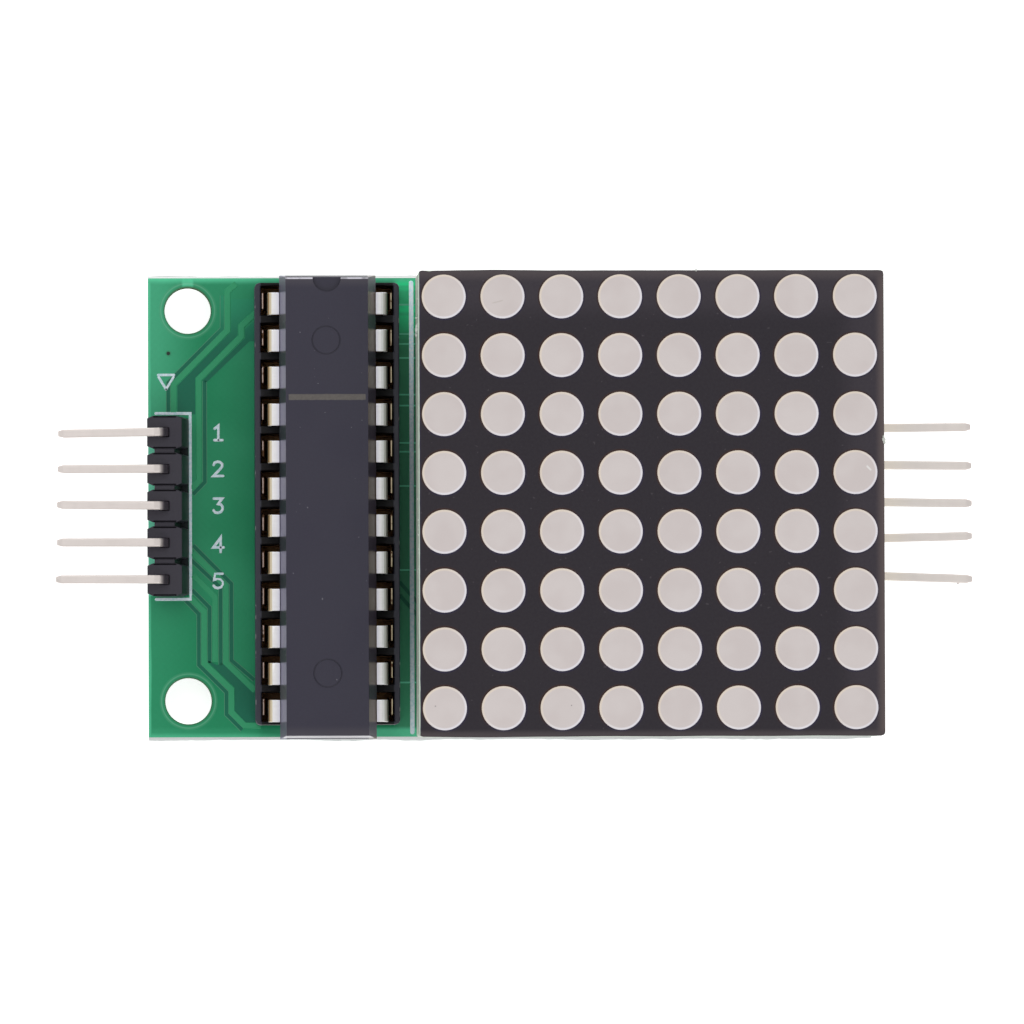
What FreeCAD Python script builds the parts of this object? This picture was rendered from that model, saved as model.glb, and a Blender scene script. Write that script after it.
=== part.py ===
import FreeCAD, Part
import math
import os

# An eight by eight LED dot matrix on its driver board.
# Millimetres. X runs from the input header to the output header and Y across the board.
# Z = 0 is the underside of the board, at the centre of its four screw holes.

# Board
board_length = 50.0
board_width = 32.0
board_thickness = 1.6
board_shift_y = -0.13
score_depth = 0.5
score_inset = 0.13
screw_inset_x = 2.75
screw_inset_y = 2.5
screw_hole_diameter = 3.2

# Standard pitch of every pin row
pitch = 2.54

# Solder joints under the board, each with its clipped tail inside
joint_height = 1.2
joint_base = 1.5
joint_tip = 0.7
joint_sides = 5

# Driver chip, 24 leads in two rows
chip_x = -12.69
chip_y = -0.29
leads_per_side = 12
lead_row_spacing = 7.96
chip_length = 31.8
chip_width = 6.62
chip_height = 3.3
chip_top_width = 5.64
chip_top_shift_x = -0.07
chip_end_draft = 0.22
notch_radius = 0.97
notch_depth = 0.35
lead_thickness = 0.28
lead_shoulder_width = 1.52
lead_shoulder_drop = 1.75
lead_bend = 0.45
lead_tip_width = 0.5
lead_tip_length = 3.0

# Chip socket, an open frame with one cell for each lead
socket_y = 0.01
socket_width = 9.94
socket_length = 30.4
socket_height = 4.2
socket_corner = 0.3
socket_rail_wall = 0.42
cell_width = 1.9
cell_length = 2.0
socket_inner_wall = 0.55
socket_bar_width = 2.2
socket_key_width = 2.0
socket_key_length = 1.0
contact_thickness = 0.12
contact_width = 1.1
contact_rise = 3.7
contact_straight = 2.4
contact_step_out = 0.22
contact_step_rise = 0.5
chip_seat_gap = 0.45

# Pin headers with the pins bent over the block
header_pins = 5
input_header_x = -23.88
output_header_x = 24.15
input_header_y = -0.075
output_header_y = 0.07
header_width = 2.4
header_height = 2.54
header_unit_length = 2.26
header_corner_depth = 0.4
header_corner_length = 0.17
header_neck_width = 1.4
header_neck_drop = 0.12
input_header_lean = 0.48
output_header_lean = 0.0
pin_size = 0.58
pin_hole_clearance = 0.03
pin_axis_height = 3.3
pin_bend = 1.0
pin_tip_length = 0.38
pin_tip_size = 0.38
bend_facets = 4
input_pin_reaches = (7.32, 7.35, 7.41, 7.41, 7.49)
output_pin_reaches = (7.55, 7.61, 7.62, 7.63, 7.64)
input_pin_skews = (-1.0, -0.2, 0.5, 0.1, 0.1)
output_pin_skews = (0.5, -0.5, -0.9, 1.3, -2.0)

# Display module
display_x = 9.23
display_y = -0.25
display_size = 31.7
display_depth = 8.0
display_corner = 0.24
dots_per_side = 8
dot_margin = 1.85
dot_diameter = 3.0
dot_shift_x = -0.115
dot_shift_y = 0.075
face_thickness = 0.2
rear_wall = 1.2
rear_recess = 2.2
led_board_thickness = 0.8
led_board_clearance = 0.1
display_row_spacing = 24.0
display_pins_per_row = 8
display_pin_size = 0.5
display_pin_length = 3.2

# Female strips that carry the display
strip_width = 2.5
strip_height = 5.0
strip_end = 0.2
strip_hole_size = 0.8
strip_hole_depth = 4.0

# Small parts between the strips, under the display
electrolytic_x = 5.6
electrolytic_y = 7.6
electrolytic_diameter = 4.0
electrolytic_length = 7.0
electrolytic_lead_spacing = 1.5
ceramic_x = 14.2
ceramic_y = 7.6
ceramic_diameter = 3.6
ceramic_thickness = 1.8
ceramic_lead_spacing = 2.54
resistor_x = 9.0
resistor_y = -4.5
resistor_diameter = 2.3
resistor_length = 6.3
wire_size = 0.5
wire_stub = 0.9

# Spacings that follow from the sizes above
screw_spacing_x = board_length - 2 * screw_inset_x
screw_spacing_y = board_width - 2 * screw_inset_y
dot_pitch = (display_size - 2 * dot_margin) / (dots_per_side - 1)

# Heights that follow from the sizes above
board_top = board_thickness
chip_bottom = board_top + socket_height + chip_seat_gap
lead_level = chip_bottom + chip_height / 2
display_bottom = board_top + strip_height
display_top = display_bottom + display_depth
led_board_bottom = display_bottom + rear_recess - led_board_thickness
cell_centre_x = socket_width / 2 - socket_rail_wall - cell_width / 2

V = FreeCAD.Vector


def save(name, shape):
    os.makedirs("parts", exist_ok=True)
    shape.exportStep("parts/" + name + ".step")


def block(width, length, height, x, y, z):
    """A box centred on x and y, standing on z."""
    return Part.makeBox(width, length, height, V(x - width / 2, y - length / 2, z))


def rounded_block(width, length, height, corner, x, y, z):
    """The same with its upright corners slightly round."""
    soft = corner * (1 - math.sqrt(0.5))
    steps = [(0, corner), (soft, soft), (corner, 0)]
    outline = []
    for a, b in ((1, 1), (-1, 1), (-1, -1), (1, -1)):
        outline += [(x + a * (width / 2 - across), y + b * (length / 2 - along), z)
                    for across, along in steps]
        steps.reverse()
    return face_of(outline).extrude(V(0, 0, height))


def face_of(points):
    return Part.Face(Part.makePolygon([V(*p) for p in points + points[:1]]))


def tapered(first, last):
    """A solid of flat faces between two parallel outlines with as many corners."""
    pairs = zip(first, first[1:] + first[:1], last[1:] + last[:1], last)
    faces = [face_of(first), face_of(last)] + [face_of(list(corners)) for corners in pairs]
    solid = Part.Solid(Part.Shell(faces))
    if solid.Volume < 0:
        solid.reverse()
    return solid


def oblong(x, y, z, width, length):
    """The corners of a level rectangle about a centre."""
    return [(x + a * width / 2, y + b * length / 2, z) for a, b in ((-1, -1), (1, -1), (1, 1), (-1, 1))]


def bend_arc(x, z, radius, facets):
    """Points round the outside of a bend, from straight up at x to level at z."""
    angles = [math.pi / 2 * i / facets for i in range(facets + 1)]
    return [(x + radius * (1 - math.cos(a)), z - radius * (1 - math.sin(a))) for a in angles]


def fuse(solids):
    return solids[0].fuse(solids[1:]).removeSplitter()


def row(count, step, centre):
    """Places of count things, step apart, about a centre."""
    return [centre + (i - (count - 1) / 2) * step for i in range(count)]


def falling_row(count, step, centre):
    """The same places from the far end, as pin 1 is at the top of the board."""
    return row(count, -step, centre)


# Places of everything that is soldered

def lead_places():
    xs = (chip_x - lead_row_spacing / 2, chip_x + lead_row_spacing / 2)
    return [(x, y) for x in xs for y in falling_row(leads_per_side, pitch, chip_y)]


def header_places(header_x, header_y):
    return [(header_x, y) for y in falling_row(header_pins, pitch, header_y)]


def display_pin_places():
    xs = (display_x - display_row_spacing / 2, display_x + display_row_spacing / 2)
    return [(x, y) for x in xs for y in falling_row(display_pins_per_row, pitch, display_y)]


def electrolytic_wire_places():
    x = electrolytic_x + electrolytic_length / 2 + wire_stub
    return [(x, y) for y in row(2, electrolytic_lead_spacing, electrolytic_y)]


def ceramic_wire_places():
    return [(x, ceramic_y) for x in row(2, ceramic_lead_spacing, ceramic_x)]


def resistor_wire_places():
    reach = resistor_length + 2 * wire_stub
    return [(x, resistor_y) for x in row(2, reach, resistor_x)]


def dot_places():
    xs = row(dots_per_side, dot_pitch, display_x + dot_shift_x)
    ys = falling_row(dots_per_side, dot_pitch, display_y + dot_shift_y)
    return [(x, y) for y in ys for x in xs]


# Board

def circuit_board():
    """Scored along both long sides, so each edge has a narrow web between two bevels."""
    half = board_width / 2
    flat = half - score_inset
    low, high = score_depth, board_thickness - score_depth
    outline = [(-flat, 0), (flat, 0), (half, low), (half, high),
               (flat, board_thickness), (-flat, board_thickness), (-half, high), (-half, low)]
    section = face_of([(-board_length / 2, y + board_shift_y, z) for y, z in outline])
    board = section.extrude(V(board_length, 0, 0))
    for x in row(2, screw_spacing_x, 0):
        for y in row(2, screw_spacing_y, 0):
            board = board.cut(Part.makeCylinder(screw_hole_diameter / 2, board_thickness, V(x, y, 0)))
    return board


def joint_outline(x, y, z, width):
    angles = [2 * math.pi * i / joint_sides for i in range(joint_sides)]
    return [(x + width / 2 * math.cos(a), y + width / 2 * math.sin(a), z) for a in angles]


def solder_joints(places):
    """Small cones of few sides on the underside of the board."""
    joints = [tapered(joint_outline(x, y, 0, joint_base), joint_outline(x, y, -joint_height, joint_tip))
              for x, y in places]
    return Part.makeCompound(joints)


# Chip and its socket

def chip_body():
    """Moulded in two drafted halves that meet at the leads, with a notch at the pin 1 end."""
    top = chip_bottom + chip_height
    end_length = chip_length - 2 * chip_end_draft
    middle = oblong(chip_x, chip_y, lead_level, chip_width, chip_length)
    top_x = chip_x + chip_top_shift_x
    upper = tapered(middle, oblong(top_x, chip_y, top, chip_top_width, end_length))
    lower = tapered(middle, oblong(chip_x, chip_y, chip_bottom, chip_top_width, end_length))
    end = V(top_x, chip_y + end_length / 2, top - notch_depth)
    return fuse([upper, lower]).cut(Part.makeCylinder(notch_radius, notch_depth, end))


def chip_lead(side, y):
    """A flat shoulder out of the body, a bend, and a narrow tip into the socket."""
    centre = lead_row_spacing / 2
    outer, inner = centre + lead_thickness / 2, centre - lead_thickness / 2
    root = chip_width / 2
    high, low = lead_level + lead_thickness / 2, lead_level - lead_thickness / 2
    foot = lead_level - lead_shoulder_drop
    bend = [(-x, z) for x, z in bend_arc(-outer, high, lead_bend, bend_facets)]
    outline = [(inner, low), (root, low), (root, high)] + bend[::-1] + [(outer, foot), (inner, foot)]
    points = [(chip_x + side * x, y - lead_shoulder_width / 2, z) for x, z in outline]
    shoulder = face_of(points).extrude(V(0, lead_shoulder_width, 0))
    tip = block(lead_thickness, lead_tip_width, lead_tip_length,
                chip_x + side * centre, y, foot - lead_tip_length)
    return fuse([shoulder, tip])


def chip_leads():
    return Part.makeCompound([chip_lead(side, y) for side in (-1, 1)
                              for y in falling_row(leads_per_side, pitch, chip_y)])


def socket_frame():
    """Two rails with a row of cells each, tied by bars at the ends and the middle."""
    frame = rounded_block(socket_width, socket_length, socket_height, socket_corner,
                          chip_x, socket_y, board_top)
    rail_width = socket_rail_wall + cell_width + socket_inner_wall
    opening_width = socket_width - 2 * rail_width
    opening_length = (socket_length - 3 * socket_bar_width) / 2
    for y in row(2, opening_length + socket_bar_width, socket_y):
        frame = frame.cut(block(opening_width, opening_length, socket_height, chip_x, y, board_top))
    cells = [block(cell_width, cell_length, socket_height, chip_x + side * cell_centre_x, y, board_top)
             for side in (-1, 1) for y in row(leads_per_side, pitch, socket_y)]
    frame = frame.cut(cells)
    key_y = socket_y + (socket_length - socket_key_length) / 2
    return frame.cut(block(socket_key_width, socket_key_length, socket_height, chip_x, key_y, board_top))


def socket_contact(side, y):
    """A strip that presses on the outside of a lead and steps out to the cell's wall above it."""
    near = lead_row_spacing / 2 + lead_thickness / 2
    out, away = near + contact_thickness, near + contact_step_out
    bend = board_top + contact_straight
    top = board_top + contact_rise
    outline = [(near, board_top), (near, bend), (away, bend + contact_step_rise), (away, top),
               (away + contact_thickness, top), (away + contact_thickness, bend + contact_step_rise),
               (out, bend), (out, board_top)]
    points = [(chip_x + side * x, y - contact_width / 2, z) for x, z in outline]
    return face_of(points).extrude(V(0, contact_width, 0))


def socket_contacts():
    return Part.makeCompound([socket_contact(side, y) for side in (-1, 1)
                              for y in row(leads_per_side, pitch, socket_y)])


# Headers

def leaning(outline, height, lean):
    """A solid on the board whose foot is lean further along x than its top."""
    foot = [(x + lean, y, board_top) for x, y in outline]
    return tapered(foot, [(x, y, board_top + height) for x, y in outline])


def header_unit(x, y, lean):
    half_x, half_y = header_width / 2, header_unit_length / 2
    flat_x, flat_y = half_x - header_corner_depth, half_y - header_corner_length
    outline = [(half_x, -flat_y), (half_x, flat_y), (flat_x, half_y), (-flat_x, half_y),
               (-half_x, flat_y), (-half_x, -flat_y), (-flat_x, -half_y), (flat_x, -half_y)]
    return leaning([(x + px, y + py) for px, py in outline], header_height, lean)


def header_neck(x, y, lean):
    half_x, half_y = header_neck_width / 2, (pitch - header_unit_length) / 2
    height = header_height - header_neck_drop
    outline = [(x + a * half_x, y + b * half_y) for a, b in ((-1, -1), (1, -1), (1, 1), (-1, 1))]
    return leaning(outline, height, lean * height / header_height)


def header_block(header_x, header_y, lean):
    """Five units with notches between them, joined by narrower necks, pressed over a little."""
    places = header_places(header_x, header_y)
    units = [header_unit(x, y, lean) for x, y in places]
    necks = [header_neck(header_x, y, lean) for y in row(header_pins - 1, pitch, header_y)]
    hole = pin_size + 2 * pin_hole_clearance
    holes = [block(hole, hole, header_height, x, y, board_top) for x, y in places]
    return fuse(units + necks).cut(holes)


def header_pin(x, y, side, skew, reach):
    """Up through the block, round a bend and out level over the board's edge."""
    half = pin_size / 2
    level = board_top + pin_axis_height
    high, low = level + half, level - half
    end = reach - pin_tip_length
    outline = ([(-half, board_top)] + bend_arc(-half, high, pin_bend, bend_facets)
               + [(end, high), (end, low), (half, low), (half, board_top)])
    side_face = face_of([(x + side * px, y - half, pz) for px, pz in outline])

    def ring(size, px):
        corners = ((-1, -1), (1, -1), (1, 1), (-1, 1))
        return [(x + side * px, y + a * size / 2, level + b * size / 2) for a, b in corners]

    tip = tapered(ring(pin_size, end), ring(pin_tip_size, reach))
    pin = fuse([side_face.extrude(V(0, pin_size, 0)), tip])
    pin.rotate(V(x, y, 0), V(0, 0, 1), side * skew)
    return pin


# Display

def display_slab(depth, z):
    return rounded_block(display_size, display_size, depth, display_corner, display_x, display_y, z)


def display_body():
    """The pale moulded block, its cells cast full, with a recess in the rear."""
    size = display_size - 2 * rear_wall
    recess = block(size, size, rear_recess, display_x, display_y, display_bottom)
    return display_slab(display_depth - face_thickness, display_bottom).cut(recess)


def display_face():
    """The thin black layer with a round window over each dot."""
    low = display_top - face_thickness
    windows = [Part.makeCylinder(dot_diameter / 2, face_thickness, V(x, y, low)) for x, y in dot_places()]
    return display_slab(face_thickness, low).cut(windows)


def led_board():
    size = display_size - 2 * (rear_wall + led_board_clearance)
    return block(size, size, led_board_thickness, display_x, display_y, led_board_bottom)


def display_backfill():
    """The poured layer that closes the rear over the small board."""
    size = display_size - 2 * rear_wall
    return block(size, size, rear_recess - led_board_thickness, display_x, display_y, display_bottom)


def display_pins():
    """What shows of each pin, from the poured rear down into its strip."""
    low = display_bottom - display_pin_length
    return Part.makeCompound([block(display_pin_size, display_pin_size, display_pin_length, x, y, low)
                              for x, y in display_pin_places()])


def display_strip(side):
    """One female strip, with a square mouth for each pin of the display."""
    x = display_x + side * display_row_spacing / 2
    length = display_pins_per_row * pitch + strip_end
    strip = block(strip_width, length, strip_height, x, display_y, board_top)
    mouth_z = display_bottom - strip_hole_depth
    return strip.cut([block(strip_hole_size, strip_hole_size, strip_hole_depth, x, y, mouth_z)
                      for y in row(display_pins_per_row, pitch, display_y)])


# Small parts

def wire_leg(near, place, level):
    """A square leg: level from the part's end to its place, then down to the board."""
    x, y = place
    side = 1 if x > near else -1
    half = wire_size / 2
    outline = [(near, level - half), (near, level + half), (x + side * half, level + half),
               (x + side * half, board_top), (x - side * half, board_top), (x - side * half, level - half)]
    return face_of([(px, y - half, pz) for px, pz in outline]).extrude(V(0, wire_size, 0))


def electrolytic_can():
    start = V(electrolytic_x - electrolytic_length / 2, electrolytic_y, board_top + electrolytic_diameter / 2)
    return Part.makeCylinder(electrolytic_diameter / 2, electrolytic_length, start, V(1, 0, 0))


def electrolytic_wires():
    near = electrolytic_x + electrolytic_length / 2
    level = board_top + electrolytic_diameter / 2
    return Part.makeCompound([wire_leg(near, place, level) for place in electrolytic_wire_places()])


def ceramic_disc():
    level = board_top + wire_stub + ceramic_diameter / 2
    start = V(ceramic_x, ceramic_y - ceramic_thickness / 2, level)
    return Part.makeCylinder(ceramic_diameter / 2, ceramic_thickness, start, V(0, 1, 0))


def ceramic_wires():
    """Two straight legs that end inside the dip of the disc."""
    level = board_top + wire_stub + ceramic_diameter / 2
    legs = [block(wire_size, wire_size, level - board_top, x, y, board_top) for x, y in ceramic_wire_places()]
    return Part.makeCompound([leg.cut(ceramic_disc()) for leg in legs])


def resistor_body():
    start = V(resistor_x - resistor_length / 2, resistor_y, board_top + resistor_diameter / 2)
    return Part.makeCylinder(resistor_diameter / 2, resistor_length, start, V(1, 0, 0))


def resistor_wires():
    level = board_top + resistor_diameter / 2
    places = resistor_wire_places()
    ends = row(2, resistor_length, resistor_x)
    return Part.makeCompound([wire_leg(near, place, level) for near, place in zip(ends, places)])


def save_header(name, header_x, header_y, side, lean, skews, reaches):
    save(name + "_header_block", header_block(header_x, header_y, lean))
    places = header_places(header_x, header_y)
    for number, ((x, y), skew, reach) in enumerate(zip(places, skews, reaches), start=1):
        save(name + "_pin_" + str(number), header_pin(x, y, side, skew, reach))
    save(name + "_header_solder", solder_joints(places))


save("circuit_board", circuit_board())
save("chip_body", chip_body())
save("chip_leads", chip_leads())
save("chip_socket_frame", socket_frame())
save("chip_socket_contacts", socket_contacts())
save("chip_socket_solder", solder_joints(lead_places()))
save_header("input", input_header_x, input_header_y, -1, input_header_lean,
            input_pin_skews, input_pin_reaches)
save_header("output", output_header_x, output_header_y, 1, output_header_lean,
            output_pin_skews, output_pin_reaches)
save("display_face", display_face())
save("display_body", display_body())
save("led_board", led_board())
save("display_backfill", display_backfill())
save("display_pins", display_pins())
save("left_display_strip", display_strip(-1))
save("right_display_strip", display_strip(1))
save("display_strip_solder", solder_joints(display_pin_places()))
save("electrolytic_can", electrolytic_can())
save("electrolytic_wires", electrolytic_wires())
save("ceramic_capacitor", ceramic_disc())
save("ceramic_wires", ceramic_wires())
save("resistor_body", resistor_body())
save("resistor_wires", resistor_wires())
save("small_part_solder", solder_joints(electrolytic_wire_places() + ceramic_wire_places()
                                        + resistor_wire_places()))
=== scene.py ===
import math
from random import Random

import bmesh
import bpy
from mathutils import Matrix, Vector


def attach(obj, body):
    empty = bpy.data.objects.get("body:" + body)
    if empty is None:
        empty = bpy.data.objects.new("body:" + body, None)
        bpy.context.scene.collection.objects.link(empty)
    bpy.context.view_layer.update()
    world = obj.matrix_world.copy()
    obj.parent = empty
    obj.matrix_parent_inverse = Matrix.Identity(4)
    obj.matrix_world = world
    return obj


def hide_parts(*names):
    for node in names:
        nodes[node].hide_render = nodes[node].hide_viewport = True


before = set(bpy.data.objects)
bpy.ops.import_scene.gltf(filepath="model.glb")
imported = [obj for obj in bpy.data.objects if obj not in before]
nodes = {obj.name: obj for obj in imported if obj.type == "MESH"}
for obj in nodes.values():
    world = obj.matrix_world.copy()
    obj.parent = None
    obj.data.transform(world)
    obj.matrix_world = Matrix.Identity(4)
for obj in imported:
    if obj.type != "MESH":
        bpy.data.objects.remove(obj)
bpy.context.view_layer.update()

# An eight by eight LED dot matrix on its driver board, dressed for a photograph.
# Lengths here are in millimetres and go into Blender in metres.
MM = 0.001

# Sizes and places that the solids have too
BOARD_X, BOARD_TOP = 25.0, 1.6
BOARD_HALF_Y, BOARD_Y = 16.0, -0.13
HOLE_X, HOLE_Y = 22.25, 13.5
PITCH = 2.54
CHIP_X, CHIP_Y, CHIP_TOP = -12.69, -0.29, 9.55
CHIP_HALF_Y, CHIP_TOP_X, CHIP_TOP_HALF_X = 15.9, -12.76, 2.82
LEAD_ROW, LEAD_LEVEL = 7.96, 7.9
SOCKET_Y, SOCKET_HALF_X, SOCKET_HIGH = 0.01, 4.97, 4.2
CELL_X, CELL_WIDTH, CELL_LENGTH = 3.6, 1.9, 2.0
INPUT_X, INPUT_Y = -23.88, -0.075
OUTPUT_X, OUTPUT_Y = 24.15, 0.07
NECK_X, BEND_X = 23.86, 23.93
# The display's case, its pin rows, its dots and its walls
CASE_X, CASE_Y, CASE_HALF = 9.23, -0.25, 31.7 / 2
CASE_LOW, CASE_TOP = 6.6, 14.6
CASE_LEFT, CASE_RIGHT = CASE_X - CASE_HALF, CASE_X + CASE_HALF
CASE_FRONT, CASE_BACK = CASE_Y - CASE_HALF, CASE_Y + CASE_HALF
CASE_ROW_HALF = 12.0
DOT_PITCH, DOT_R = 4.0, 1.5
DOT_X, DOT_Y = CASE_X - 0.115, CASE_Y + 0.075
FACE_THICK, REAR_WALL, REAR_RECESS = 0.2, 1.2, 2.2
CORNER = 0.24
PRINTED_LINE_X = -6.79
CAN_START, CAN_LENGTH, CAN_R = (2.1, 7.6, 3.6), 7.0, 2.0
CERAMIC_MIDDLE = (14.2, 7.6, 4.3)
RESISTOR_MIDDLE, RESISTOR_LENGTH = (9.0, -4.5, 2.75), 6.3

# The studio
FLOOR_Z, FLOOR_REACH, FLOOR_GLOW, WORLD_LEVEL = -1.2, 1500, 0.75, 0.7
CAMERA_DISTANCE, PX_PER_MM, PICTURE_PX, SENSOR = 750, 14.455, 1024, 36.0
CAMERA_AIM, CAMERA_TURN = (0.146, -0.48, 1.6), {"Z": 0.13, "Y": 1.9, "X": -1.6}


def linear(colour):
    """Three numbers from 0 to 255, as a screen shows a colour, in linear light."""
    shares = [v / 255 for v in colour]
    return (*(v / 12.92 if v <= 0.04045 else ((v + 0.055) / 1.055) ** 2.4 for v in shares), 1.0)


def row(count, step, centre):
    """Evenly spaced values about a centre."""
    return [centre + (i - (count - 1) / 2) * step for i in range(count)]


# ---- Materials ----

class Paint:
    """A Principled material and short names for the nodes that feed it."""

    def __init__(self, name, roughness=0.5, metallic=0.0, specular=0.5):
        self.material = bpy.data.materials.new(name)
        self.material.use_nodes = True
        self.tree = self.material.node_tree
        self.shader = self.tree.nodes["Principled BSDF"]
        self.set("Roughness", roughness)
        self.set("Metallic", metallic)
        self.set("Specular IOR Level", specular)
        coordinates = self.add("TexCoord").outputs["Object"]
        self.place = self.vector("MULTIPLY", coordinates, (1000, 1000, 1000))
        self.x, self.y, self.z = self.split(self.place)
        self.nx, self.ny, self.nz = self.split(self.add("NewGeometry").outputs["Normal"])

    def feed(self, socket, value):
        """Links a socket to another one, or gives it a number, a vector or a screen colour."""
        if isinstance(value, bpy.types.NodeSocket):
            self.tree.links.new(value, socket)
        else:
            socket.default_value = linear(value) if socket.type == "RGBA" else value

    def set(self, name, value):
        self.feed(self.shader.inputs[name], value)

    def add(self, kind, *values, **settings):
        """A node, its first inputs fed with the values in turn."""
        node = self.tree.nodes.new("ShaderNode" + kind)
        for key, value in settings.items():
            setattr(node, key, value)
        for socket, value in zip(node.inputs, values):
            self.feed(socket, value)
        return node

    def split(self, vector):
        return self.add("SeparateXYZ", vector).outputs

    def vector(self, operation, first, second=(0, 0, 0)):
        node = self.add("VectorMath", first, second, operation=operation)
        return node.outputs["Value" if operation == "LENGTH" else 0]

    def math(self, operation, *values):
        """The operation on one value, or on two or more in turn."""
        result = values[0]
        for value in values[1:] or (0.0,):
            result = self.add("Math", result, value, operation=operation).outputs[0]
        return result

    def times(self, *values):
        return self.math("MULTIPLY", *values)

    def plus(self, *values):
        return self.math("ADD", *values)

    def most(self, *values):
        return self.math("MAXIMUM", *values)

    def off(self, value, centre=0.0):
        """How far a value is from centre."""
        return self.math("ABSOLUTE", self.math("SUBTRACT", value, centre))

    def blend(self, first, second, share=0.5):
        """A share of the first value and the rest of the second."""
        return self.plus(self.times(first, share), self.times(second, 1 - share))

    def ramp(self, value, low, high, start=0.0, end=1.0):
        """start below low, end above high, smooth between."""
        return self.add("MapRange", value, low, high, start, end, interpolation_type="SMOOTHSTEP").outputs[0]

    def near(self, value, centre, half, soft=0.02):
        """1 within half of centre, 0 outside."""
        return self.ramp(self.off(value, centre), half - soft, half + soft, 1.0, 0.0)

    def length(self, x, y):
        return self.vector("LENGTH", self.add("CombineXYZ", x, y).outputs[0])

    def radius(self, x, y):
        """Distance from the upright line through x and y."""
        return self.length(self.math("SUBTRACT", self.x, x), self.math("SUBTRACT", self.y, y))

    def disc(self, x, y, radius, soft=0.03):
        return self.ramp(self.radius(x, y), radius - soft, radius + soft, 1.0, 0.0)

    def noise(self, scale, detail=2.0, stretch=(1, 1, 1), rough=0.5):
        """Grey noise with about scale lumps to the millimetre."""
        place = self.vector("MULTIPLY", self.place, stretch)
        return self.add("TexNoise", place, 0.0, scale, detail, rough).outputs[0]

    def wander(self, scale, amount, stretch=(1, 1, 1)):
        """A noise that swings about zero, to make a straight edge ragged."""
        return self.times(self.plus(self.noise(scale, 2.0, stretch), -0.5), amount)

    def weave(self):
        """The weave of the board's glass cloth, from -1 to 1."""
        return self.times(*(self.math("SINE", self.times(v, 12.0)) for v in (self.x, self.y)))

    def cells(self, scale):
        return self.add("TexVoronoi", self.place, 0.0, scale).outputs["Distance"]

    def mix(self, factor, first, second):
        node = self.add("Mix", factor, data_type="RGBA")
        self.feed(node.inputs[6], first)
        self.feed(node.inputs[7], second)
        return node.outputs[2]

    def shade(self, colour, factor):
        """The colour times a grey factor."""
        node = self.add("VectorMath", colour, operation="SCALE")
        self.feed(node.inputs["Scale"], factor)
        return node.outputs[0]

    def bump(self, height, depth):
        """depth is in millimetres for a height of one."""
        node = self.add("Bump", 1.0, depth * MM)
        self.feed(node.inputs["Height"], height)
        self.set("Normal", node.outputs[0])

    def glow(self, colour, strength):
        """Painted light: the material glows with this colour and strength."""
        self.set("Emission Color", colour)
        self.set("Emission Strength", strength)

    def between(self, noise, low, high):
        """From low to high over the usual range of a noise."""
        return self.ramp(noise, 0.3, 0.7, low, high)

    def finish(self, colour, roughness=None):
        self.set("Base Color", colour)
        if roughness is not None:
            self.set("Roughness", roughness)
        return self.material


def moulded(name, dark, light, grain=6.0, roughness=0.55, depth=0.006):
    """Moulded plastic: fine grain, faint flow clouds and a few paler specks of dust."""
    p = Paint(name, roughness)
    clouds = p.noise(0.25, 3.0)
    fine = p.noise(grain, 4.0)
    dust = p.ramp(p.noise(7.0, 0.0), 0.82, 0.86, 0.0, 0.3)
    colour = p.mix(p.ramp(p.blend(clouds, fine, 0.6), 0.35, 0.65), dark, light)
    colour = p.mix(dust, colour, (150, 146, 146))
    p.bump(fine, depth)
    return p.finish(colour, p.between(clouds, roughness - 0.06, roughness + 0.08))


def mask_paint(name, colour, lift=1.0, back_light_colour=None):
    """Cured solder mask, the weave just showing; lift scales its clouds, and the second colour, when given,
    is painted light: the mask turns paler towards the back.
    """
    p = Paint(name, 0.4, 0.0, 0.2)
    clouds = p.noise(0.12)
    weave = p.weave()
    level = p.plus(p.times(clouds, 0.22 * lift), 0.89, p.times(weave, 0.012))
    # Painted light: towards the back the mask turns to the paler second colour
    colour = p.mix(p.ramp(p.y, 10.6, 14.2, 0.0, 0.9), colour, back_light_colour or colour)
    p.bump(p.plus(p.times(weave, 0.3), p.noise(5.0)), 0.004)
    return p.finish(p.shade(colour, level), p.between(clouds, 0.34, 0.44))


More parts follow.
